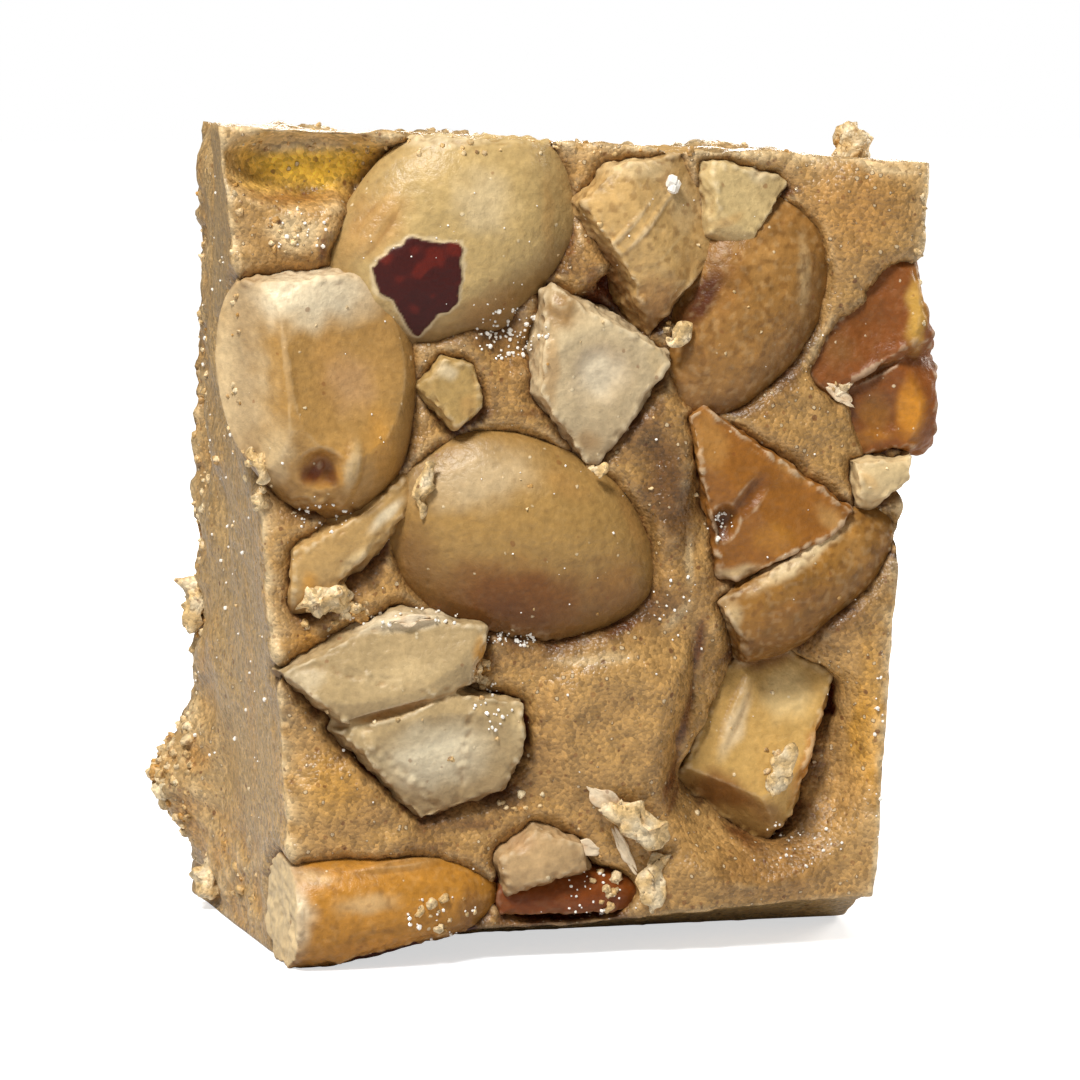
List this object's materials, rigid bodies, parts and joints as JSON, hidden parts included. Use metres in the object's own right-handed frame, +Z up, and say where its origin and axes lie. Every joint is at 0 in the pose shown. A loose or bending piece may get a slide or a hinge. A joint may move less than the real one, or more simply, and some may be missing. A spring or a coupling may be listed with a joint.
{
  "type": "peanut butter fudge square",
  "caption": "Knife-cut square of tan peanut butter fudge, standing on one cut side, its poured face set with peanut halves and chips.",
  "frame": {"origin": "middle of the underside of the box round the whole piece, where it stands", "axes": "+Z up along the longer side of the peanut face, +X to the right across that face, +Y from that face into the fudge"},
  "size_m": [0.0376, 0.0222, 0.0404],
  "materials": {
    "fudge": "smooth tan fudge with a soft sheen, crumbly towards the back",
    "golden_peanut": "roasted golden peanut, faintly oily",
    "pale_peanut": "lightly roasted beige peanut, faintly oily",
    "brown_peanut": "darker roasted peanut, faintly oily",
    "white_peanut": "cream-white broken peanut, matt"
  },
  "bodies": {
    "root": {"fudge_block": "fudge", "peanut_left_half": "golden_peanut", "peanut_white_chip": "white_peanut", "peanut_upper_chunk": "golden_peanut", "peanut_upper_chip": "pale_peanut", "peanut_big_half": "pale_peanut", "peanut_triangle": "brown_peanut", "peanut_skin_half": "pale_peanut", "peanut_elongated_half": "brown_peanut", "peanut_edge_lobes": "brown_peanut", "peanut_curved_half": "pale_peanut", "peanut_sunk_chunk": "pale_peanut", "peanut_split_half": "white_peanut", "peanut_bottom_half": "golden_peanut", "peanut_small_chip": "pale_peanut", "peanut_brown_strip": "brown_peanut", "peanut_sliver": "white_peanut", "peanut_crumb_chip": "white_peanut", "peanut_edge_bit": "pale_peanut"}
  },
  "joints": []
}
